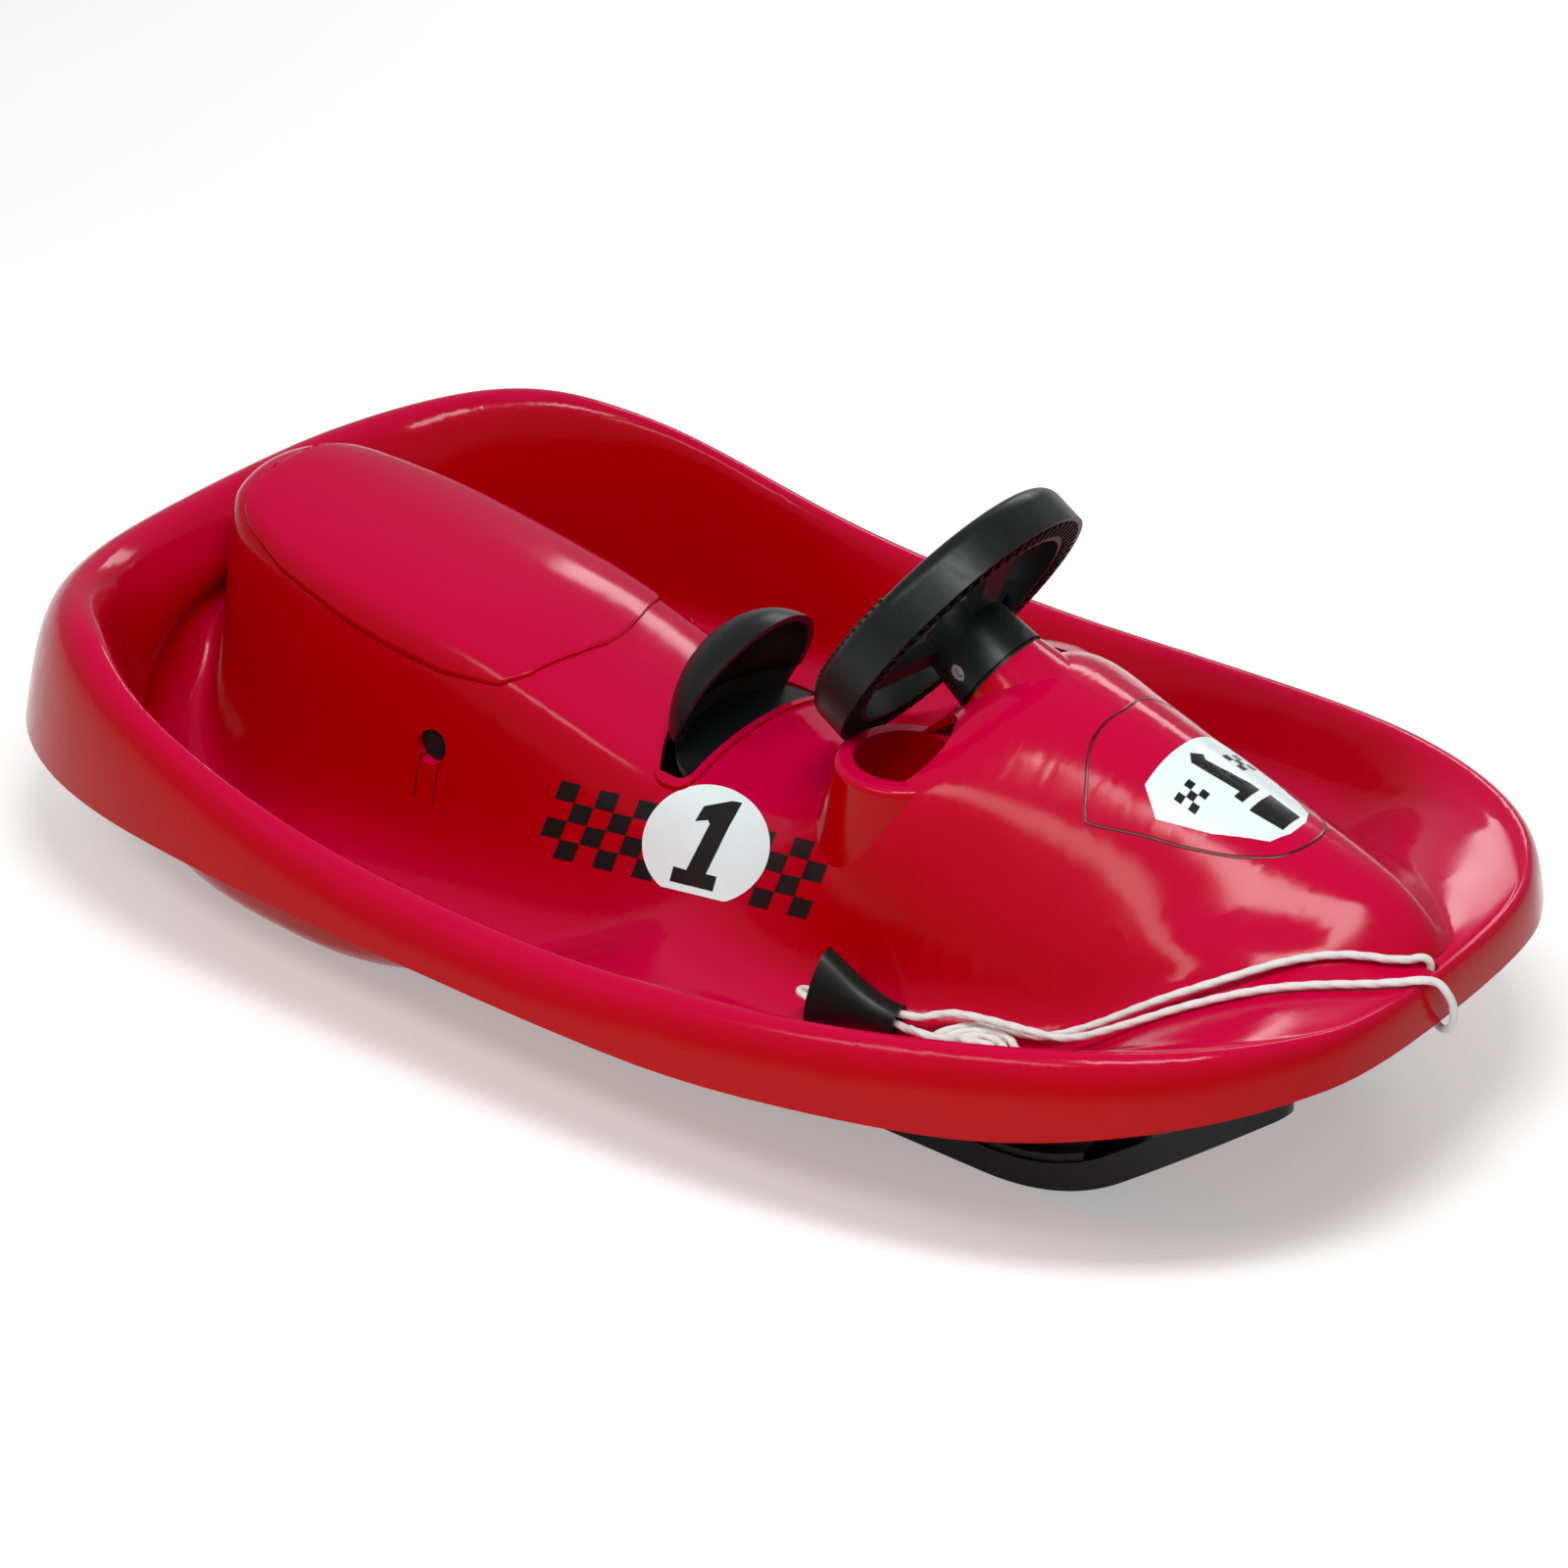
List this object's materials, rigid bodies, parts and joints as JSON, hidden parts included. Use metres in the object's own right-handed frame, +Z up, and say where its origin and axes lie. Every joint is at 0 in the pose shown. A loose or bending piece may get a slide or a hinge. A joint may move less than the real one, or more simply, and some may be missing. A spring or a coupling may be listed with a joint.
{
  "type": "steering sled",
  "caption": "One-rider moulded snow sled with a raised seat, deep foot wells, a steering wheel that turns front skis, a claw brake and a tow rope.",
  "frame": {"origin": "centre of the bounding box on the floor, between the runners", "axes": "+X forward to the nose, +Y to the rider's left, +Z up"},
  "size_m": [1.013, 0.5754, 0.3548],
  "materials": {
    "hull_red": "gloss",
    "black_plastic": "satin",
    "ski_plastic": "satin",
    "steel": "zinc plated",
    "rope_white": "braided"
  },
  "bodies": {
    "hull": {"hull_shell": "hull_red", "column_top_bush": "black_plastic", "column_foot_bearing": "black_plastic", "foot_bearing_screws": "steel", "kingpin_left": "steel", "kingpin_right": "steel", "rope_handle": "black_plastic", "tow_rope": "rope_white"},
    "steering": {"steering_wheel": "black_plastic", "wheel_cap": "black_plastic", "hub_bolt": "steel", "hub_nut": "steel", "steering_column": "steel", "column_clip": "steel", "crank_arm": "steel"},
    "tie_rod": {"tie_rod": "black_plastic"},
    "ski_left": {"ski_left": "ski_plastic", "ski_bracket_left": "black_plastic", "bracket_screws_left": "steel"},
    "ski_right": {"ski_right": "ski_plastic", "ski_bracket_right": "black_plastic", "bracket_screws_right": "steel"},
    "brake": {"brake_lever": "black_plastic", "brake_axle": "black_plastic", "brake_claw": "steel", "claw_rivets": "steel"}
  },
  "joints": [
    {"name": "steering_turn", "type": "hinge", "parent": "hull", "child": "steering", "pos_m": [0.137, 0, 0.27], "axis": [-0.8387, 0, 0.5446], "range_deg": [-35, 35]},
    {"name": "tie_rod_slide", "type": "slide", "parent": "hull", "child": "tie_rod", "axis": [0, 1, 0], "range_m": [-0.0145, 0.0145]},
    {"name": "ski_left_turn", "type": "hinge", "parent": "hull", "child": "ski_left", "pos_m": [0.3266, 0.104, 0.06], "axis": [0, 0, 1], "range_deg": [-15, 15]},
    {"name": "ski_right_turn", "type": "hinge", "parent": "hull", "child": "ski_right", "pos_m": [0.3266, -0.104, 0.06], "axis": [0, 0, 1], "range_deg": [-15, 15]},
    {"name": "brake_pull", "type": "hinge", "parent": "hull", "child": "brake", "pos_m": [-0.19, 0, 0.107], "axis": [0, -1, 0], "range_deg": [0, 20]}
  ],
  "couplings": [
    {"joint": "tie_rod_slide", "follows": "steering_turn", "m_per_rad": -0.0229},
    {"joint": "ski_left_turn", "follows": "steering_turn", "ratio": 0.418},
    {"joint": "ski_right_turn", "follows": "steering_turn", "ratio": 0.418}
  ]
}
